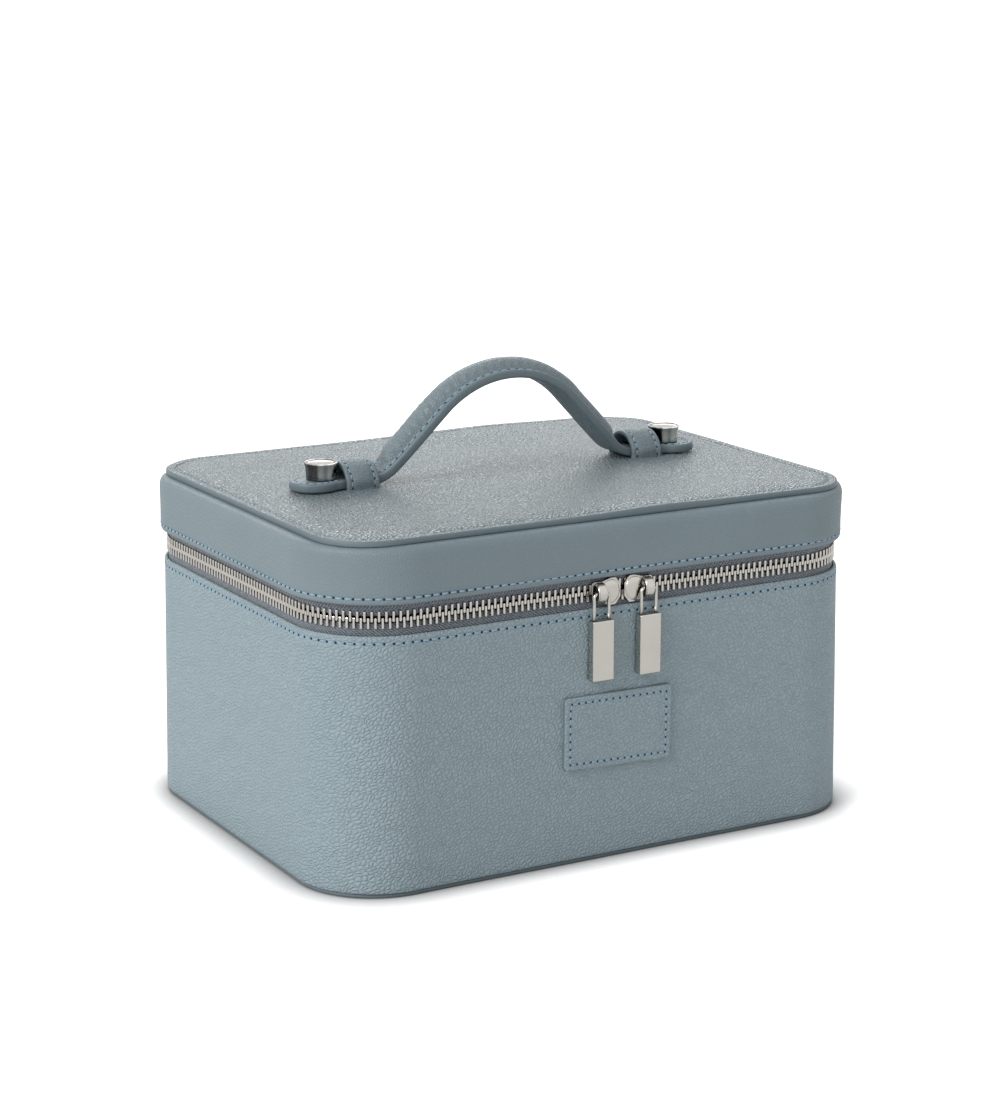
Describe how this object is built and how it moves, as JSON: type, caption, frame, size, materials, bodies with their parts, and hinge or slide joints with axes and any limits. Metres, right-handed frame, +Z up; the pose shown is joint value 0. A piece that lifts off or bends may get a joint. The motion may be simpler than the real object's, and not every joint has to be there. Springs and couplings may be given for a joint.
{
  "type": "vanity case",
  "caption": "Zip-around vanity case with padded lid, arched strap handle sliding in two loops, two zip sliders with block pullers and a leather back hinge.",
  "frame": {"origin": "middle of the base on the surface it stands on", "axes": "+X right along the front, the front faces -Y, +Z up"},
  "size_m": [0.2436, 0.1904, 0.1843],
  "materials": {
    "leather": "matt, fine grain",
    "grained_leather": "matt, pebbled grain",
    "handle_leather": "matt, fine grain, painted edges",
    "hinge_leather": "matt",
    "board": "matt",
    "lining_fabric": "woven, matt",
    "foam": "matt",
    "zip_tape": "ribbed weave",
    "nickel": "polished",
    "champagne_metal": "polished, slightly warm"
  },
  "bodies": {
    "base": {"base_wrap": "leather", "base_wall_board": "board", "base_floor_board": "board", "base_wall_lining": "lining_fabric", "base_floor_lining": "lining_fabric", "base_bottom_panel": "grained_leather", "front_patch": "grained_leather", "zip_tape_lower": "zip_tape", "zip_teeth_lower": "nickel", "zip_stops_lower": "nickel", "back_hinge": "hinge_leather"},
    "lid": {"lid_band": "leather", "lid_wall_board": "board", "lid_top_board": "board", "lid_top_panel": "grained_leather", "lid_wall_lining": "lining_fabric", "lid_top_padding": "foam", "lid_top_lining": "lining_fabric", "zip_tape_upper": "zip_tape", "zip_teeth_upper": "nickel", "zip_stops_upper": "nickel", "handle_loop_left": "handle_leather", "handle_loop_right": "handle_leather"},
    "slider_left": {"slider_left": "nickel"},
    "slider_right": {"slider_right": "nickel"},
    "pull_left": {"bail_left": "nickel", "puller_left": "nickel"},
    "pull_right": {"bail_right": "nickel", "puller_right": "nickel"},
    "handle": {"handle_strap": "handle_leather"},
    "handle_end_left": {"handle_tab_left": "handle_leather", "handle_stud_left": "champagne_metal", "stud_screw_left": "champagne_metal"},
    "handle_end_right": {"handle_tab_right": "handle_leather", "handle_stud_right": "champagne_metal", "stud_screw_right": "champagne_metal"}
  },
  "joints": [
    {"name": "lid_open", "type": "hinge", "parent": "base", "child": "lid", "pos_m": [0, 0.0902, 0.1067], "axis": [-1, 0, 0], "range_deg": [0, 110], "deforming": ["back_hinge"]},
    {"name": "slider_left_travel", "type": "slide", "parent": "base", "child": "slider_left", "axis": [-1, 0, 0], "range_m": [0, 0.073], "deforming": ["zip_teeth_lower", "zip_teeth_upper"]},
    {"name": "slider_right_travel", "type": "slide", "parent": "base", "child": "slider_right", "axis": [1, 0, 0], "range_m": [0, 0.069], "deforming": ["zip_teeth_lower", "zip_teeth_upper"]},
    {"name": "puller_left_swing", "type": "hinge", "parent": "slider_left", "child": "pull_left", "pos_m": [-0.0086, -0.09455, 0.1067], "axis": [-1, 0, 0], "range_deg": [0, 150]},
    {"name": "puller_right_swing", "type": "hinge", "parent": "slider_right", "child": "pull_right", "pos_m": [0.0126, -0.09455, 0.1067], "axis": [-1, 0, 0], "range_deg": [0, 150]},
    {"name": "handle_drop", "type": "slide", "parent": "lid", "child": "handle", "axis": [0, 0, -1], "range_m": [0, 0.03], "deforming": ["handle_strap"]},
    {"name": "handle_end_left_slide", "type": "slide", "parent": "lid", "child": "handle_end_left", "axis": [-1, 0, 0], "range_m": [0, 0.0104]},
    {"name": "handle_end_right_slide", "type": "slide", "parent": "lid", "child": "handle_end_right", "axis": [1, 0, 0], "range_m": [0, 0.0104]}
  ],
  "couplings": [
    {"joint": "handle_end_left_slide", "follows": "handle_drop", "ratio": 0.34},
    {"joint": "handle_end_right_slide", "follows": "handle_drop", "ratio": 0.34}
  ]
}
